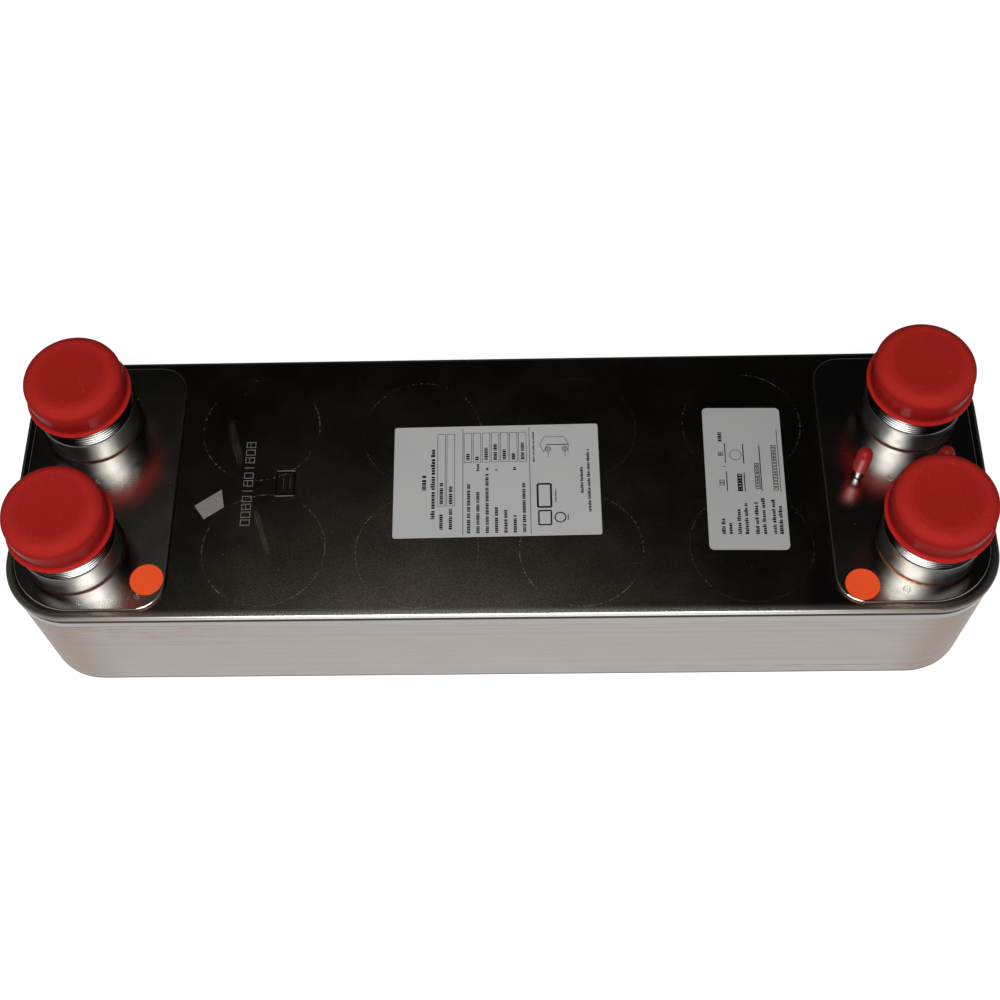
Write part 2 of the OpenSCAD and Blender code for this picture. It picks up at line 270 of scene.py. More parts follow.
class Paint(Nodes):
    """One material, with the patterns that several materials here share."""

    def __init__(self, name):
        self.material = bpy.data.materials.new(name)
        self.material.use_nodes = True
        super().__init__(self.material.node_tree)
        self.shader = self.tree.nodes["Principled BSDF"]

    def set(self, **values):
        """Sets the shader's own inputs; an underscore stands for a space."""
        for key, value in values.items():
            self.feed(self.shader.inputs[key.replace("_", " ")], value)

    def satin(self, colour, rough):
        """Bare sheet metal whose gleam stays close to the mirror direction."""
        inputs = {"Color": colour, "Roughness": rough}
        self.shader = self.node("ShaderNodeBsdfAnisotropic", inputs, distribution="BECKMANN")
        self.feed(self.tree.nodes["Material Output"].inputs["Surface"], self.shader.outputs[0])

    def bump(self, height, distance, strength=1.0):
        """A bump on the shader's normal from a height mask."""
        inputs = {"Height": height, "Distance": distance, "Strength": strength}
        self.feed(self.shader.inputs["Normal"], self.node("ShaderNodeBump", inputs).outputs[0])

    def stretched(self, lengths, turn=0.0, shift=(0, 0, 0)):
        """Coordinates in which one unit is the given length along each axis, turned about Z."""
        inputs = {"Vector": self.place, "Rotation": (0, 0, math.radians(turn))}
        turned = self.node("ShaderNodeMapping", inputs)
        scale = [1 / length for length in lengths]
        inputs = {"Vector": turned.outputs[0], "Scale": scale, "Location": shift}
        return self.node("ShaderNodeMapping", inputs).outputs[0]

    def clouds(self, vector, detail, rough):
        """Cloudy noise over coordinates whose unit is the size of a grain."""
        inputs = {"Vector": vector, "Scale": 1.0, "Detail": detail, "Roughness": rough}
        return self.node("ShaderNodeTexNoise", inputs).outputs[0]

    def noise(self, size, detail=2.0, rough=0.5, turn=0.0, shift=(0, 0, 0)):
        """Cloudy noise; size is a grain's size, or its lengths along the three axes."""
        lengths = size if isinstance(size, tuple) else (size, size, size)
        return self.clouds(self.stretched(lengths, turn, shift), detail, rough)

    def specks(self, spacing, radius, share, shift=(0, 0, 0)):
        """Round specks, one in some of the cells of a loose grid."""
        vector = self.stretched((spacing, spacing, spacing), 0, shift)
        cells = self.node("ShaderNodeTexVoronoi", {"Vector": vector, "Scale": 1.0})
        chance = self.node("ShaderNodeSeparateColor", {0: cells.outputs["Color"]}).outputs[0]
        present = self.math("GREATER_THAN", chance, 1 - share)
        reach = radius / spacing
        spot = self.fade(cells.outputs["Distance"], reach, reach * 0.5)
        return self.times(spot, present)

    def scratches(self, length, width, turn, share, shift=(0, 0, 0)):
        """Fine straight scratches that run one way."""
        streaks = self.noise((length, width, length), 0, 0.5, turn, shift)
        return self.fade(streaks, 1 - share, 1 - share + 0.05)

    def distance(self, point):
        """How far a point of the surface is from a fixed point."""
        return self.vector("DISTANCE", self.place, point).outputs["Value"]

    def port_radius(self):
        """How far a point of the surface is from the axis of its own port."""
        dx = self.math("SUBTRACT", self.size(self.x), port_x)
        dy = self.math("SUBTRACT", self.size(self.y), port_y)
        return self.hypotenuse(dx, dy)

    def inset(self, half_length, half_depth, corner):
        """How far a point lies inside the rim of a rounded rectangle about the origin."""
        past_x = self.math("SUBTRACT", self.size(self.x), half_length - corner)
        past_y = self.math("SUBTRACT", self.size(self.y), half_depth - corner)
        reach = self.hypotenuse(self.most(past_x, 0.0), self.most(past_y, 0.0))
        return self.math("SUBTRACT", corner, reach)

    def rim_lines(self, inset, width):
        """Fine lines that run along a rim, from the distance inside it."""
        around = self.times(self.math("ADD", self.x, self.y), 25.0)
        inwards = self.math("DIVIDE", inset, width)
        upwards = self.math("DIVIDE", self.z, width)
        vector = self.node("ShaderNodeCombineXYZ", {0: inwards, 1: upwards, 2: around}).outputs[0]
        return self.clouds(vector, 1.0, 0.5)


def press_marks(paint):
    """A mask of thin, uneven rings where the press held the cover."""
    nearest = 1.0
    for x, y, radius in PRESS_MARKS:
        reach = paint.distance((x * MM, y * MM, cover_top))
        nearest = paint.math("MINIMUM", nearest, paint.gap(reach, radius * MM))
    line = paint.fade(nearest, 0.42 * MM, 0.12 * MM)
    halo = paint.fade(nearest, 1.5 * MM, 0.2 * MM)
    long_gaps = paint.fade(paint.noise(26 * MM, 1, 0.5, shift=(3, 1, 0)), 0.32, 0.68, 0.16, 1.0)
    short_gaps = paint.fade(paint.noise(1.7 * MM, 2, 0.7), 0.44, 0.60)
    grains = paint.fade(paint.noise(0.7 * MM, 1, 0.5, shift=(6, 2, 0)), 0.56, 0.70)
    uneven = paint.math("ADD", paint.times(long_gaps, short_gaps), 0.05)
    return paint.most(paint.times(line, uneven), paint.times(halo, grains, long_gaps, 0.35))


def scuff(paint, start, end, width, shift):
    """A mask of one broad faint rub between two points on the cover, given in millimetres."""
    middle = (Vector(start) + Vector(end)) * MM / 2
    along = (Vector(end) - Vector(start)) * MM
    turn = math.atan2(along.y, along.x)
    inputs = {"Vector": paint.place, "Location": (-middle.x, -middle.y, 0)}
    moved = paint.node("ShaderNodeMapping", inputs).outputs[0]
    turned = paint.node("ShaderNodeMapping", {"Vector": moved, "Rotation": (0, 0, -turn)}).outputs[0]
    parts = paint.node("ShaderNodeSeparateXYZ", {0: turned}).outputs
    half = along.length / 2
    ends = paint.fade(paint.size(parts["X"]), half, half * 0.6)
    sides = paint.fade(paint.size(parts["Y"]), width, width * 0.3)
    streaks = paint.noise((half, width / 5, half), 2, 0.6, math.degrees(-turn), shift)
    return paint.times(ends, sides, paint.fade(streaks, 0.3, 0.7))


def cover_marks(paint):
    """A mask of all that marks the cover's polish: press marks, rubs, fine scratches and dust."""
    rubs = paint.most(
        scuff(paint, (-174.5, 50.5), (-163.5, 11.0), 3.6 * MM, (1, 0, 0)),
        scuff(paint, (-154.2, -15.0), (-141.0, -53.0), 2.4 * MM, (4, 2, 0)),
    )
    dust = paint.most(
        paint.specks(5 * MM, 0.32 * MM, 0.12),
        paint.specks(17 * MM, 0.55 * MM, 0.18, (3, 7, 0)),
    )
    fine = paint.scratches(8 * MM, 0.30 * MM, 24, 0.225, (2, 0, 0))
    return paint.most(
        paint.times(press_marks(paint), 0.46),
        paint.times(rubs, 0.26),
        paint.times(fine, 0.07),
        paint.times(dust, 0.34),
    )


def cover_steel():
    """The front cover: polished sheet with a ground rim, press marks, rubs and a little dust."""
    paint = Paint("cover_steel")
    mark = cover_marks(paint)
    clouds = paint.noise(34 * MM, 4, 0.6)
    grain = paint.noise(0.8 * MM, 2, 0.7)
    steel = paint.mix(clouds, (0.475, 0.456, 0.407, 1), (0.620, 0.590, 0.525, 1))
    grainy = paint.mix(paint.fade(grain, 0.35, 0.65), steel, (0.285, 0.247, 0.217, 1))
    marked = paint.mix(mark, grainy, (0.58, 0.54, 0.48, 1))
    polished = paint.blend(mark, paint.fade(clouds, 0.3, 0.7, 0.11, 0.15), 0.75)

    # the near rim is ground along its straight: rougher and paler, with fine lines along it
    inset = paint.inset(cover_high.x, cover_high.y, COVER_CORNER)
    near = paint.fade(paint.y, -20 * MM, -60 * MM)
    far = paint.fade(paint.y, 20 * MM, 80 * MM)
    straight = paint.fade(paint.size(paint.x), cover_high.x - 34 * MM, cover_high.x - 190 * MM)
    near_straight = paint.times(near, straight)
    rim = paint.times(paint.fade(inset, 6.6 * MM, 1.8 * MM), near_straight)
    speckled = paint.times(rim, paint.fade(grain, 0.25, 0.60, 0.35, 1.0))
    edge = paint.fade(inset, 2.0 * MM, 1.3 * MM)

    # the near corners are worn in lines, and the outermost rim elsewhere is brown and dull
    lines = paint.rim_lines(inset, 0.24 * MM)
    corner = paint.times(near, paint.math("SUBTRACT", 1.0, straight))
    lined = paint.times(corner, paint.fade(lines, 0.35, 0.65, 0.45, 1.0))
    worn = paint.times(paint.fade(inset, 7.0 * MM, 2.4 * MM), lined)
    elsewhere = paint.math("SUBTRACT", 1.0, near_straight)
    outer = paint.times(paint.fade(inset, 2.6 * MM, 1.6 * MM), elsewhere)
    dull = paint.most(outer, worn)
    brown = paint.mix(far, (0.25, 0.225, 0.185, 1), (0.12, 0.113, 0.10, 1))
    tarnished = paint.mix(paint.times(dull, 0.9), marked, brown)
    ground = paint.mix(speckled, tarnished, (0.82, 0.79, 0.74, 1))
    foot = paint.fade(paint.z, cover_low.z + 2.1 * MM, cover_low.z + 1.7 * MM)
    rough = paint.blend(speckled, polished, paint.blend(edge, 0.34, 0.50))
    paint.set(
        Base_Color=paint.mix(foot, ground, (0.05, 0.03, 0.025, 1)),
        Metallic=1.0,
        Roughness=paint.blend(dull, rough, 0.42),
    )
    paint.bump(paint.times(lines, rim), 0.03 * MM, 0.25)
    return paint.material


def port_plate_steel():
    """The two port plates: satin sheet, brighter than the cover, with flecks of spilt copper."""
    paint = Paint("port_plate_steel")
    clouds = paint.noise(22 * MM, 4, 0.6)
    copper = paint.most(
        paint.specks(5 * MM, 0.28 * MM, 0.14, (1, 4, 0)),
        paint.specks(13 * MM, 0.42 * MM, 0.16, (6, 2, 0)),
    )
    dust = paint.specks(5 * MM, 0.18 * MM, 0.08, (9, 3, 0))
    steel = paint.mix(clouds, (0.70, 0.68, 0.655, 1), (0.79, 0.77, 0.74, 1))
    dusty = paint.mix(paint.times(dust, 0.4), steel, (0.8, 0.76, 0.70, 1))
    colour = paint.mix(paint.times(copper, 0.8), dusty, (0.60, 0.28, 0.13, 1))
    edge = paint.fade(paint.z, pad_top - 0.08 * MM, pad_top - 0.30 * MM)
    edged = paint.mix(paint.times(edge, 0.8), colour, (0.16, 0.13, 0.105, 1))
    smooth = paint.fade(clouds, 0.3, 0.7, 0.220, 0.245)
    paint.satin(edged, paint.blend(paint.most(copper, dust), smooth, 0.7))
    return paint.material


def turned_steel():
    """The stubs: a satin collar, and a brighter thread above it, with grime and painted shade in its
    roots.
    """
    paint = Paint("turned_steel")
    lines = paint.noise((60 * MM, 60 * MM, 0.28 * MM), 2, 0.6)
    smudge = paint.noise(9 * MM, 3, 0.6)
    thread = paint.fade(paint.z, collar_top - 0.1 * MM, collar_top)
    depth = paint.math("SUBTRACT", thread_radius, paint.port_radius())
    # grime and painted shade darken the thread's roots, leaving only the outer edge of each crest bright
    root = paint.times(thread, paint.fade(depth, 0.12 * MM, 0.38 * MM))
    collar = paint.mix(lines, (0.205, 0.196, 0.184, 1), (0.260, 0.250, 0.234, 1))
    cut = paint.mix(lines, (0.40, 0.39, 0.38, 1), (0.50, 0.49, 0.475, 1))
    clean = paint.mix(thread, collar, cut)
    grime_and_shade = paint.mix(paint.times(root, 0.92), clean, (0.03, 0.025, 0.022, 1))
    soft = paint.fade(smudge, 0.3, 0.75, 0.42, 0.50)
    paint.satin(grime_and_shade, paint.blend(thread, soft, 0.29))
    paint.bump(lines, 0.02 * MM, 0.3)
    return paint.material


def stack_stains(paint):
    """A mask of the copper on the stack: smears at the left end, and a line along two of the joints."""
    leftwards = paint.fade(paint.x, -150 * MM, -185 * MM)
    short_of_corner = paint.fade(paint.x, -290 * MM, -255 * MM)
    left_end = paint.times(leftwards, short_of_corner)
    right_half = paint.fade(paint.x, 50 * MM, 140 * MM)
    upper_half = paint.fade(paint.z, stack_low.z + 42 * MM, stack_high.z)
    streaks = paint.noise((19 * MM, 19 * MM, 0.75 * MM), 3, 0.6, 0, (2, 5, 1))
    reach = paint.most(paint.times(left_end, upper_half), 0.05)
    smears = paint.times(paint.fade(streaks, 0.53, 0.62), reach)
    top_gap = paint.gap(paint.z, stack_high.z - 1.0 * MM)
    top_breaks = paint.noise((18 * MM, 18 * MM, 60 * MM), 3, 0.7, 0, (7, 3, 0))
    top_line = paint.times(
        paint.fade(top_gap, 0.8 * MM, 0.3 * MM),
        left_end,
        paint.fade(top_breaks, 0.30, 0.52),
    )
    low_gap = paint.gap(paint.z, stack_low.z + 10.6 * MM)
    low_breaks = paint.noise((22 * MM, 22 * MM, 60 * MM), 2, 0.6, 0, (1, 9, 0))
    low_line = paint.times(
        paint.fade(low_gap, 0.9 * MM, 0.2 * MM),
        right_half,
        paint.fade(low_breaks, 0.35, 0.55),
    )
    return paint.most(paint.times(smears, 0.75), paint.times(top_line, 0.75), paint.times(low_line, 0.70))


def plate_edge_steel():
    """The stack's pressed edges: satin steel, with copper that ran out of the joints."""
    paint = Paint("plate_edge_steel")
    ends = paint.fade(paint.size(paint.x), stack_high.x - 62 * MM, stack_high.x - 24 * MM)
    level = paint.noise((2000 * MM, 2000 * MM, 2.6 * MM), 2, 0.5)
    clouds = paint.noise(30 * MM, 3, 0.55)
    pits = paint.specks(19 * MM, 0.6 * MM, 0.22, (2, 2, 5))
    foot = paint.fade(paint.z, stack_low.z + 0.9 * MM, stack_low.z + 0.3 * MM)
    steel = paint.mix(clouds, (0.385, 0.355, 0.335, 1), (0.425, 0.395, 0.370, 1))
    banded = paint.mix(paint.fade(level, 0.35, 0.65, 0.0, 0.5), steel, (0.355, 0.335, 0.318, 1))
    warm = paint.mix(paint.times(ends, 0.85), banded, (0.315, 0.240, 0.198, 1))
    coppery = paint.mix(stack_stains(paint), warm, (0.33, 0.165, 0.085, 1))
    footed = paint.mix(paint.times(foot, 0.75), coppery, (0.09, 0.07, 0.07, 1))
    paint.set(
        Base_Color=paint.mix(paint.times(pits, 0.6), footed, (0.10, 0.08, 0.07, 1)),
        Metallic=1.0,
        Roughness=paint.fade(level, 0.3, 0.7, 0.36, 0.44),
    )
    return paint.material


def seal_steel():
    """The plate under the front cover: cooler than the stack, and near-black at its top, in the groove
    under the cover.
    """
    paint = Paint("seal_steel")
    clouds = paint.noise((24 * MM, 24 * MM, 2 * MM), 3, 0.55)
    stain = paint.fade(paint.noise(14 * MM, 3, 0.6, shift=(3, 3, 0)), 0.62, 0.78)
    steel = paint.mix(clouds, (0.285, 0.292, 0.286, 1), (0.325, 0.332, 0.325, 1))
    stained = paint.mix(paint.times(stain, 0.3), steel, (0.32, 0.24, 0.18, 1))
    groove = paint.fade(paint.z, cover_low.z - 3.0 * MM, cover_low.z - 2.5 * MM)
    paint.set(
        Base_Color=paint.mix(groove, stained, (0.035, 0.020, 0.017, 1)),
        Metallic=1.0,
        Roughness=paint.fade(clouds, 0.3, 0.7, 0.28, 0.38),
    )
    return paint.material


def braze_copper():
    """Copper brazing: nearly black where it thinned, brighter where it pooled."""
    paint = Paint("braze_copper")
    pools = paint.fade(paint.noise(3.5 * MM, 3, 0.65), 0.60, 0.78)
    fine = paint.noise(0.7 * MM, 3, 0.6)
    # the right near seam has one long bright run at its front left
    run = Vector((port_x - seam_radius * 0.72, -port_y - seam_radius * 0.66, pad_top))
    broken = paint.fade(paint.noise(2.4 * MM, 3, 0.7, shift=(2, 5, 0)), 0.36, 0.62, 0.15, 0.85)
    pooled = paint.times(paint.fade(paint.distance(run), 26 * MM, 14 * MM), broken)
    bright = paint.most(paint.times(pools, 0.5), pooled)
    colour = paint.mix(bright, (0.045, 0.020, 0.014, 1), (0.40, 0.16, 0.065, 1))
    paint.set(
        Base_Color=paint.mix(paint.times(fine, 0.35), colour, (0.05, 0.025, 0.018, 1)),
        Metallic=1.0,
        Roughness=paint.fade(fine, 0.3, 0.7, 0.30, 0.5),
    )
    paint.bump(fine, 0.12 * MM, 0.6)
    return paint.material


def cap_plastic():
    """The four port caps: moulded red plastic, with painted light on the thin brim and painted shade on
    the wall, neck, dish and underside.
    """
    paint = Paint("cap_plastic")
    clouds = paint.noise(15 * MM, 3, 0.6)
    weave = paint.noise(0.9 * MM, 2, 0.7)

    # the crown, with painted shade in its dish, and the scrapes on it
    on_top = paint.fade(paint.z, cap_high.z - 3 * MM, cap_high.z - 1.2 * MM)
    dish_shade = paint.fade(paint.port_radius(), 24 * MM, 18 * MM)
    red = paint.mix(clouds, srgb(162, 35, 31), srgb(172, 40, 34))
    top = paint.mix(paint.times(dish_shade, on_top), red, srgb(156, 32, 29))
    mottled = paint.mix(paint.times(paint.fade(weave, 0.45, 0.75), 0.15), top, srgb(144, 28, 26))
    scratches = paint.scratches(3.2 * MM, 0.34 * MM, 24, 0.205, (4, 4, 0))
    chips = paint.times(paint.specks(7 * MM, 0.35 * MM, 0.14, (2, 6, 0)), 0.8)
    scrapes = paint.times(paint.most(scratches, chips), on_top)

    # painted shade on the wall, deeper at its neck, then painted light on the brim, and painted shade on
    # the underside
    wall_shade = paint.fade(paint.z, cap_high.z - 2.5 * MM, cap_high.z - 6.5 * MM)
    neck_shade = paint.fade(paint.gap(paint.z, cap_low.z + 6.5 * MM), 6.5 * MM, 1.0 * MM)
    brim_light = paint.fade(paint.z, cap_low.z + 3.4 * MM, cap_low.z + 1.6 * MM)
    normal = paint.node("ShaderNodeNewGeometry").outputs["Normal"]
    facing_up = paint.node("ShaderNodeSeparateXYZ", {0: normal}).outputs["Z"]
    under_shade = paint.fade(facing_up, -0.2, -0.6)
    shaded = paint.mix(paint.times(wall_shade, 0.8), mottled, srgb(146, 26, 24))
    neck_shaded = paint.mix(paint.times(neck_shade, 0.8), shaded, srgb(128, 20, 18))
    brim_lit = paint.mix(brim_light, neck_shaded, srgb(182, 35, 30))
    edged = paint.mix(under_shade, brim_lit, srgb(58, 9, 8))
    upper = paint.fade(paint.z, cap_high.z - 10 * MM, cap_high.z - 6 * MM)
    paint.set(
        Base_Color=paint.mix(paint.times(scrapes, 0.6), edged, srgb(205, 84, 34)),
        Roughness=paint.blend(upper, paint.fade(weave, 0.3, 0.7, 0.22, 0.28), 0.62),
        Specular_IOR_Level=0.02,
    )
    paint.bump(paint.math("ADD", weave, paint.times(clouds, 3.0)), 0.05 * MM, 0.3)
    return paint.material


def soft_vinyl():
    """The two small caps: dipped vinyl, glossier than the port caps."""
    paint = Paint("soft_vinyl")
    clouds = paint.noise(6 * MM, 2, 0.5)
    paint.set(
        Base_Color=paint.mix(clouds, srgb(140, 27, 25), srgb(156, 32, 28)),
        Roughness=0.40,
        Specular_IOR_Level=0.16,
    )
    paint.bump(paint.noise(2.2 * MM, 2, 0.5), 0.15 * MM, 0.4)
    return paint.material


def label_film(name, tone):
    """Grey polyester film; the tone is its screen grey."""
    paint = Paint(name)
    grain = paint.noise(0.8 * MM, 2, 0.6)
    clouds = paint.noise(30 * MM, 2, 0.5)
    pale = paint.mix(clouds, srgb(tone - 4, tone - 4, tone - 4), srgb(tone + 4, tone + 4, tone + 3))
    grey = srgb(tone - 14, tone - 14, tone - 14)
    paint.set(
        Base_Color=paint.mix(paint.times(grain, 0.3), pale, grey),
        Roughness=0.5,
        Specular_IOR_Level=0.25,
    )
    paint.bump(paint.noise(4 * MM, 2, 0.5), 0.05 * MM, 0.3)
    return paint.material


def print_ink():
    """Black print."""
    paint = Paint("print_ink")
    wear = paint.fade(paint.noise(1.6 * MM, 3, 0.7), 0.6, 0.85)
    paint.set(
        Base_Color=paint.mix(paint.times(wear, 0.25), srgb(14, 14, 17), srgb(70, 70, 74)),
        Roughness=0.6,
        Specular_IOR_Level=0.2,
    )
    return paint.material


def sticker_paper():
    """Bright orange paper."""
    paint = Paint("sticker_paper")
    fibres = paint.noise(0.7 * MM, 3, 0.7)
    clouds = paint.noise(6 * MM, 2, 0.5)
    orange = paint.mix(clouds, srgb(233, 75, 28), srgb(240, 86, 33))
    paint.set(
        Base_Color=paint.mix(paint.times(fibres, 0.25), orange, srgb(214, 62, 23)),
        Roughness=0.6,
        Specular_IOR_Level=0.25,
    )
    paint.bump(fibres, 0.03 * MM, 0.4)
    return paint.material


def paper_tape():
    """A torn scrap of grey tape, with blisters under it."""
    paint = Paint("paper_tape")
    fibres = paint.noise(0.6 * MM, 3, 0.7)
    blisters = paint.specks(4.5 * MM, 1.6 * MM, 0.5, (2, 1, 0))
    grey = paint.mix(fibres, srgb(110, 106, 101), srgb(132, 127, 121))
    paint.set(
        Base_Color=paint.mix(paint.times(blisters, 0.5), grey, srgb(142, 139, 134)),
        Roughness=0.6,
        Specular_IOR_Level=0.3,
    )
    paint.bump(paint.math("ADD", fibres, blisters), 0.08 * MM, 0.5)
    return paint.material


def peened_steel_and_highlights():
    """Freshly struck metal in the small marks, which scatters light; the same pale steel makes the painted
    highlights on the stamped frame's edges.
    """
    paint = Paint("peened_steel_and_highlights")
    grain = paint.noise(0.8 * MM, 2, 0.6)
    paint.set(
        Base_Color=paint.mix(grain, (0.34, 0.29, 0.26, 1), (0.62, 0.56, 0.52, 1)),
        Metallic=1.0,
        Roughness=0.62,
    )
    return paint.material


def spot_steel():
    """The small weld marks on the port plates, rougher than the sheet round them."""
    paint = Paint("spot_steel")
    grain = paint.noise(0.5 * MM, 2, 0.6)
    steel = paint.mix(grain, (0.68, 0.66, 0.63, 1), (0.78, 0.76, 0.73, 1))
    paint.satin(steel, paint.fade(grain, 0.3, 0.7, 0.24, 0.28))
    return paint.material


def pressed_scale():
    """The black scale in the pressed frame on the cover."""
    paint = Paint("pressed_scale")
    grain = paint.noise(1.2 * MM, 2, 0.6)
    paint.set(
        Base_Color=paint.mix(grain, (0.0015, 0.0015, 0.0015, 1), (0.004, 0.004, 0.004, 1)),
        Roughness=0.6,
        Specular_IOR_Level=0.02,
    )
    return paint.material


def make_finishes():
    """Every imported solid's material, by how the solid's name starts."""
    stack = plate_edge_steel()
    copper = braze_copper()
    turned = turned_steel()
    return {
        "back_cover_plate": stack,
        "channel_plates": stack,
        "seal_plate": seal_steel(),
        "front_cover_plate": cover_steel(),
        "port_plate": port_plate_steel(),
        "port_plate_seam": copper,
        "port_seam": copper,
        "sensor_seam": copper,
        "port": turned,
        "sensor_tube": turned,
        "port_cap": cap_plastic(),
        "sensor_cap": soft_vinyl(),
        "nameplate": label_film("nameplate_film", 176),
        "test_label": label_film("test_label_film", 166),
        "sticker": sticker_paper(),
        "tape_scrap": paper_tape(),
    }


def paint_solids(finishes):
    """Gives each solid the finish whose name says most of the solid's own."""
    for name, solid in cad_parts.items():
        start = max((start for start in finishes if name.startswith(start)), key=len)
        solid.data.materials.clear()
        solid.data.materials.append(finishes[start])


# ---------------------------------------------------------------- small raised pieces

def finish_piece(name, mesh, material, smooth=False):
    """Turns a bmesh into a scene object that rides on the part."""
    data = bpy.data.meshes.new(name)
    mesh.to_mesh(data)
    mesh.free()
    data.materials.append(material)
    if smooth:
        data.shade_smooth()
    piece = bpy.data.objects.new(name, data)
    scene.collection.objects.link(piece)
    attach(piece, "root")


def join_loops(mesh, low, high):
    """Faces between two closed loops with as many points."""
    for i in range(len(low)):
        j = (i + 1) % len(low)
        mesh.faces.new((low[i], low[j], high[j], high[i]))


def round_way(i, sides):
    """The direction of corner i of a round form with so many sides."""
    angle = 2 * math.pi * i / sides
    return Vector((math.cos(angle), math.sin(angle), 0))


def add_dome(mesh, foot, radius, height, sides, rings=2):
    """A low closed dome on a flat surface."""
    loops = []
    for ring in range(rings):
        lean = math.pi / 2 * ring / rings
        reach = radius * math.cos(lean)
        lift = Vector((0, 0, height * math.sin(lean)))
        loops.append([mesh.verts.new(foot + reach * round_way(i, sides) + lift) for i in range(sides)])
    mesh.faces.new(loops[0][::-1])
    for low, high in zip(loops, loops[1:]):
        join_loops(mesh, low, high)
    tip = mesh.verts.new(foot + Vector((0, 0, height)))
    last = loops[-1]
    for i in range(sides):
        mesh.faces.new((last[i], last[(i + 1) % sides], tip))


def add_ridge(mesh, start, end, width, height):
    """A low straight ridge with sloping sides, between two points on the cover."""
    start = Vector((*start, cover_top))
    end = Vector((*end, cover_top))
    along = (end - start).normalized()
    side = Vector((-along.y, along.x, 0)) * width / 2
    crown = side * 0.25
    lift = Vector((0, 0, height))
    section = [side, crown + lift, -crown + lift, -side]
    first = [mesh.verts.new(start + offset) for offset in section]
    last = [mesh.verts.new(end + offset) for offset in section]
    mesh.faces.new(first)
    mesh.faces.new(last[::-1])
    join_loops(mesh, last, first)


def add_ringlet(mesh, centre, radius):
    """A low round ring with a small dome inside it."""
    sides = 28
    width = 0.24 * radius
    height = 0.035 * radius
    section = [(-1.0, 0.0), (-0.5, 0.8), (0.0, 1.0), (0.5, 0.8), (1.0, 0.0)]
    loops = []
    for i in range(sides):
        loop = []
        for out, up in section:
            place = centre + round_way(i, sides) * (radius + out * width)
            loop.append(mesh.verts.new(place + Vector((0, 0, up * height))))
        loops.append(loop)
    for i in range(sides):
        join_loops(mesh, loops[(i + 1) % sides], loops[i])
    add_dome(mesh, centre, radius * 0.34, height * 0.9, 12, 3)


class Marks:
    """Many small closed shapes gathered into one mesh, laid out in millimetres on a turned sheet.

    A point is (down, across): down runs along the sheet's own X and across along its Y."""

    def __init__(self, name, corner, turn, surface):
        self.name = name
        self.mesh = bmesh.new()
        self.to_frame = Matrix.Translation((corner.x, corner.y, surface)) @ Matrix.Rotation(turn, 4, "Z")

    def level(self, outline, height):
        """The corners of an outline at a height above the sheet."""
        return [self.mesh.verts.new(self.to_frame @ Vector((*point, height))) for point in outline]

    def stroke(self, start, end, width):
        """A straight line of the given width."""
        start = Vector(start) * MM
        end = Vector(end) * MM
        along = (end - start).normalized()
        side = Vector((-along.y, along.x)) * width * MM / 2
        outline = [start + side, start - side, end - side, end + side]
        low = self.level(outline, 0)
        top = self.level(outline, PRINT_HEIGHT)
        self.mesh.faces.new(low[::-1])
        self.mesh.faces.new(top)
        join_loops(self.mesh, low, top)

    def box(self, down, across, height, length, line=0.30):
        """A plain frame."""
        low, far = down + height, across + length
        corners = [(down, across), (low, across), (low, far), (down, far)]
        for start, end in zip(corners, corners[1:] + corners[:1]):
            self.stroke(start, end, line)

    def ring(self, down, across, radius, line):
        """A plain circle."""
        middle = Vector((down, across))
        points = [middle + radius * round_way(i, 20).xy for i in range(21)]
        for start, end in zip(points, points[1:]):
            self.stroke(start, end, line)

    def words(self, down, across, length, size, seed, capitals=False):
        """A line of dummy text that spells nothing: a small block stands for each letter."""
        chance = random.Random(seed)
        gap = 0.15 * size
        bottom = down + size
        end = across + length
        position = across
        letters = chance.randint(4, 9)
        while True:
            block = chance.choice((0.30, 0.45, 0.52, 0.60)) * size
            if position + block > end:
                break
            tall = capitals or chance.random() < 0.35
            height = size if tall else 0.76 * size
            middle = position + block / 2
            self.stroke((bottom - height, middle), (bottom, middle), block)
            position += block + gap
            letters -= 1
            if letters == 0:
                position += 0.4 * size
                letters = chance.randint(3, 9)

    def cells(self, down, across, length, size, seed, line=0.42):
        """A line of large dummy figures: open boxes and bars that spell nothing."""
        chance = random.Random(seed)
        wide = 0.44 * size
        low = down + size
        position = across
        while position + wide <= across + length:
            end = position + wide
            self.stroke((down, position), (low, position), line)
            form = chance.choice(("box", "box", "split", "bar"))
            if form != "bar":
                self.stroke((down, end), (low, end), line)
                self.stroke((down + line / 2, position), (down + line / 2, end), line)
                self.stroke((low - line / 2, position), (low - line / 2, end), line)
            if form == "split":
                middle = (low + down) / 2
                self.stroke((middle, position), (middle, end), line)
            position += (0.2 if form == "bar" else 0.66) * size

    def finish(self, material):
        """Makes the object, and lets it ride on the part."""
        bmesh.ops.recalc_face_normals(self.mesh, faces=self.mesh.faces)
        finish_piece(self.name, self.mesh, material)


def label_marks(node, turn):
    """Empty marks for a turned label, and its depth in millimetres, from the box round the label."""
    low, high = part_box(node)
    wide, deep = high.x - low.x, high.y - low.y
    turn = math.radians(turn)
    c, s = abs(math.cos(turn)), abs(math.sin(turn))
    length = (wide * c - deep * s) / (c * c - s * s)
    depth = (deep * c - wide * s) / (c * c - s * s)
    corner = (low + high) / 2 + Matrix.Rotation(turn, 3, "Z") @ Vector((-length / 2, -depth / 2, 0))
    return Marks(node + "_print", corner, turn, high.z), depth / MM


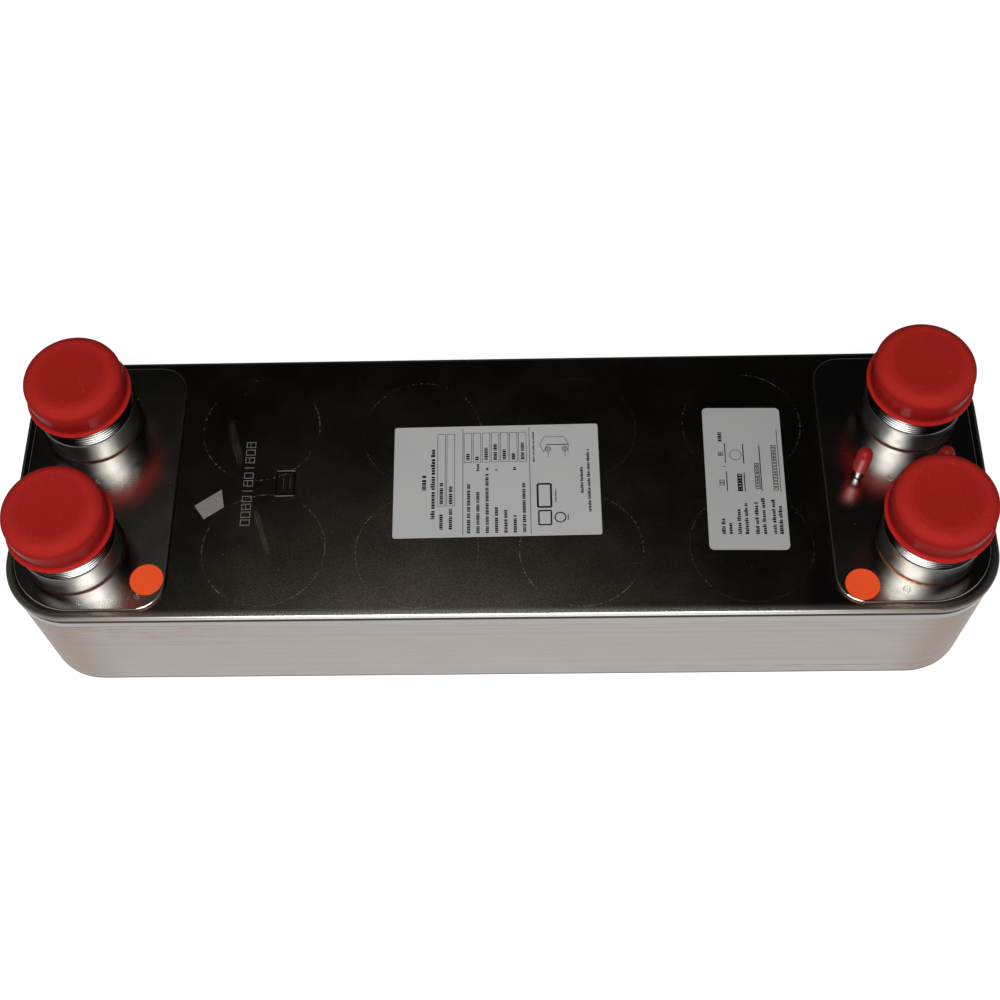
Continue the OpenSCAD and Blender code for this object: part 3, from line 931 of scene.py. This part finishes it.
def print_nameplate(ink):
    """Dummy print on the large label: headings, two fields, a table of seven, and a sketch."""
    marks, depth = label_marks("nameplate", NAMEPLATE_TURN)
    marks.words(18.0, 33.3, 11.2, 2.6, 1, capitals=True)
    marks.words(23.4, 12.8, 51.0, 2.7, 2)

    # two wide fields; the pairs are the lengths of a row's label and value
    for i, (label, value) in enumerate([(11.0, 16.5), (14.8, 13.5)]):
        down = 27.7 + 5.9 * i
        marks.words(down + 1.4, 5.4, label, 2.1, 10 + i, capitals=True)
        marks.box(down, 21.9, 4.9, 52.1)
        marks.words(down + 1.4, 23.2, value, 2.2, 20 + i, capitals=True)

    # two rules, with the table between them; the lists are the lengths of its labels, values and units
    for down in (43.8, 86.2):
        marks.stroke((down, 1.2), (down, depth - 1.6), 0.36)
    labels = [35.2, 29.3, 41.9, 18.6, 15.9, 13.1, 35.8]
    values = [6.0, 2.7, 10.5, 12.6, 7.9, 4.9, 13.0]
    units = [0, 5.0, 3.4, 2.0, 0, 3.4, 0]
    for i, (label, value, unit) in enumerate(zip(labels, values, units)):
        down = 44.6 + 5.8 * i
        marks.words(down + 1.8, 2.4, label, 2.0, 30 + i, capitals=True)
        marks.box(down, 52.9, 4.8, 21.4)
        marks.words(down + 1.3, 54.4, value, 2.2, 40 + i, capitals=True)
        if unit:
            marks.words(down + 1.8, 46.6, unit, 2.0, 50 + i)

    # three plain signs and small print in the lowest part, beside the sketch
    marks.words(88.1, 52.2, 22.3, 1.2, 60)
    marks.box(90.8, 19.8, 8.4, 16.4, 1.3)
    marks.box(91.2, 7.4, 7.8, 9.8, 1.0)
    marks.ring(104.6, 12.4, 3.4, 0.8)
    marks.words(101.6, 23.1, 9.8, 0.9, 61)
    marks.words(109.0, 10.6, 4.0, 0.9, 62)
    marks.words(117.8, 29.3, 20.0, 1.9, 63)
    marks.words(122.2, 15.9, 45.0, 1.9, 64)
    sketch_exchanger(marks)
    marks.finish(ink)


def sketch_exchanger(marks):
    """A small line drawing of a plain box with two round ports, seen at a slant."""
    front_left, back_left = (93.0, 64.6), (95.6, 70.4)
    back_right, front_right = (108.4, 70.4), (111.2, 64.6)
    foot_left, foot_right = (95.4, 59.0), (110.8, 59.0)
    outline = [foot_left, front_left, back_left, back_right, front_right, foot_right]
    for start, end in zip(outline, outline[1:]):
        marks.stroke(start, end, 0.30)
    marks.stroke((97.2, 64.6), (110.9, 64.6), 0.60)
    marks.stroke((97.2, 64.6), (95.4, 59.0), 0.30)
    for down in (98.2, 108.8):
        marks.ring(down, 61.4, 1.7, 0.40)
        marks.ring(down, 61.4, 0.8, 0.40)
        marks.stroke((down, 59.4), (down, 55.6), 0.34)


def print_test_label(ink):
    """Dummy print on the second label: four double rows, each with a line to fill in."""
    marks = label_marks("test_label", TEST_LABEL_TURN)[0]

    # how far down the two lines of a row lie, each with its length
    rows = [
        (8.2, 11.3, 12.4, 7.6),
        (18.1, 17.4, 22.6, 22.2),
        (29.1, 22.8, 33.5, 24.9),
        (39.7, 25.8, 43.8, 19.7),
    ]
    for i, (first, first_length, second, second_length) in enumerate(rows):
        marks.words(first, 10.7, first_length, 2.3, 70 + i)
        marks.words(second, 10.7, second_length, 2.3, 80 + i)

    # the lines to fill in: how far down, start, end and width
    for down, start, end, line in [
        (13.2, 40.9, 54.8, 0.62), (13.1, 60.9, 75.0, 0.62), (24.2, 40.3, 54.0, 0.62),
        (24.5, 60.5, 74.6, 0.70), (34.7, 40.5, 73.4, 0.62), (46.4, 40.2, 85.4, 0.42),
    ]:
        marks.stroke((down, start), (down, end), line)

    # what stands on the lines
    marks.stroke((11.1, 58.3), (13.0, 58.3), 0.4)
    marks.cells(8.5, 45.0, 5.0, 3.2, 91)
    marks.cells(8.5, 66.4, 3.0, 3.2, 92)
    marks.words(9.0, 76.6, 7.6, 2.4, 92, capitals=True)
    marks.cells(19.8, 40.9, 13.2, 3.0, 93, 0.75)
    marks.cells(30.8, 42.4, 19.4, 3.2, 94)
    marks.cells(42.0, 41.4, 33.4, 3.2, 95)
    marks.ring(19.6, 66.6, 3.6, 0.34)
    marks.finish(ink)


def cell_dots(form, start):
    """Where a struck cell's dots lie: a bar has one column, a box four sides, and barred a line across."""
    downs = [CELL_DEPTH * step / 7 for step in range(8)]
    if form == "bar":
        return [(down, start + CELL_BREADTH / 2) for down in downs]
    insides = [start + CELL_BREADTH * step / 4 for step in range(1, 4)]
    rows = [0.0, CELL_DEPTH]
    if form == "barred":
        rows.append(CELL_DEPTH * 3 / 7)
    dots = [(down, across) for across in (start, start + CELL_BREADTH) for down in downs]
    return dots + [(row, across) for row in rows for across in insides]


def peen_row(struck_and_highlight):
    """A straight row of dot-struck cells on the cover: plain boxes and bars, which spell nothing."""
    forms = ["box", "box", "barred", "box", "bar", "barred", "box", "bar", "barred", "box", "barred"]
    mesh = bmesh.new()
    for i, form in enumerate(forms):
        for dot in cell_dots(form, i * CELL_PITCH):
            place = (Vector(STRUCK_START) + Vector(dot)) * MM
            add_dome(mesh, Vector((*place, cover_top)), 0.30 * MM, STRUCK_HEIGHT, 8)
    finish_piece("peened_row", mesh, struck_and_highlight)


def stamp_frame(pressed, struck_and_highlight):
    """A plain upright frame pressed into the cover beside the struck row, with two bars in it, and painted
    highlights as thin pale ridges along its edges.
    """
    low = Vector((-140.4, -7.8)) * MM
    high = Vector((-129.0, 8.3)) * MM
    inside = 3.6 * MM
    dark = bmesh.new()
    # the thin pale ridges are painted highlights along the frame's edges
    bright = bmesh.new()
    for y, out in ((low.y, -1), (high.y, 1)):
        add_ridge(dark, (low.x, y), (high.x, y), 1.5 * MM, PRESSED_HEIGHT)
        edge = y + out * 0.95 * MM
        add_ridge(bright, (low.x, edge), (high.x, edge), 0.24 * MM, 0.06 * MM)
    for x in (low.x, high.x):
        add_ridge(dark, (x, low.y), (x, high.y), 1.5 * MM, PRESSED_HEIGHT)
    for x in (low.x + inside, high.x - inside):
        add_ridge(dark, (x, low.y + inside), (x, high.y - inside), 1.1 * MM, PRESSED_HEIGHT)
        edge = x + 0.7 * MM
        add_ridge(bright, (edge, low.y + 4.2 * MM), (edge, high.y - 4.2 * MM), 0.14 * MM, 0.05 * MM)
    for name, mesh, finish in (("stamped_frame", dark, pressed), ("stamped_edge_highlights", bright, struck_and_highlight)):
        bmesh.ops.recalc_face_normals(mesh, faces=mesh.faces)
        finish_piece(name, mesh, finish)


def spot_marks(steel):
    """Small resistance-weld marks on the port plates: a low ring with a dimpled middle."""
    left, right, near = -pad_high.x, pad_high.x, -pad_high.y
    places = [
        (left + 46.5 * MM, 2.4 * MM, 1.5 * MM),
        (left + 50.1 * MM, 2.2 * MM, 0.8 * MM),
        (left + 44.7 * MM, near + 5.4 * MM, 1.5 * MM),
        (left + 80.3 * MM, near + 9.0 * MM, 1.5 * MM),
        (right - 55.0 * MM, -2.4 * MM, 1.9 * MM),
        (right - 54.5 * MM, near + 8.3 * MM, 1.9 * MM),
    ]
    mesh = bmesh.new()
    for x, y, radius in places:
        add_ringlet(mesh, Vector((x, y, pad_top)), radius)
    bmesh.ops.recalc_face_normals(mesh, faces=mesh.faces)
    finish_piece("spot_marks", mesh, steel, smooth=True)


def braze_beads(copper):
    """Drops of copper that stand on the seams round the ports."""
    chance = random.Random(7)
    mesh = bmesh.new()
    for x in (-port_x, port_x):
        for y in (-port_y, port_y):
            for _ in range(34):
                angle = chance.uniform(0, 2 * math.pi)
                radius = seam_radius - chance.uniform(0.1, 0.5) * MM
                size = chance.uniform(0.22, 0.42) * MM
                foot = Vector((x + radius * math.cos(angle), y + radius * math.sin(angle), pad_top))
                add_dome(mesh, foot, size, size * 0.9, 10, 3)
    finish_piece("braze_beads", mesh, copper, smooth=True)


make_camera()
make_floor()
make_world()
make_key_light()
finishes = make_finishes()
paint_solids(finishes)
ink = print_ink()
print_nameplate(ink)
print_test_label(ink)
struck_and_highlight = peened_steel_and_highlights()
peen_row(struck_and_highlight)
stamp_frame(pressed_scale(), struck_and_highlight)
spot_marks(spot_steel())
braze_beads(finishes["port_plate_seam"])

scene.view_settings.view_transform = "Standard"
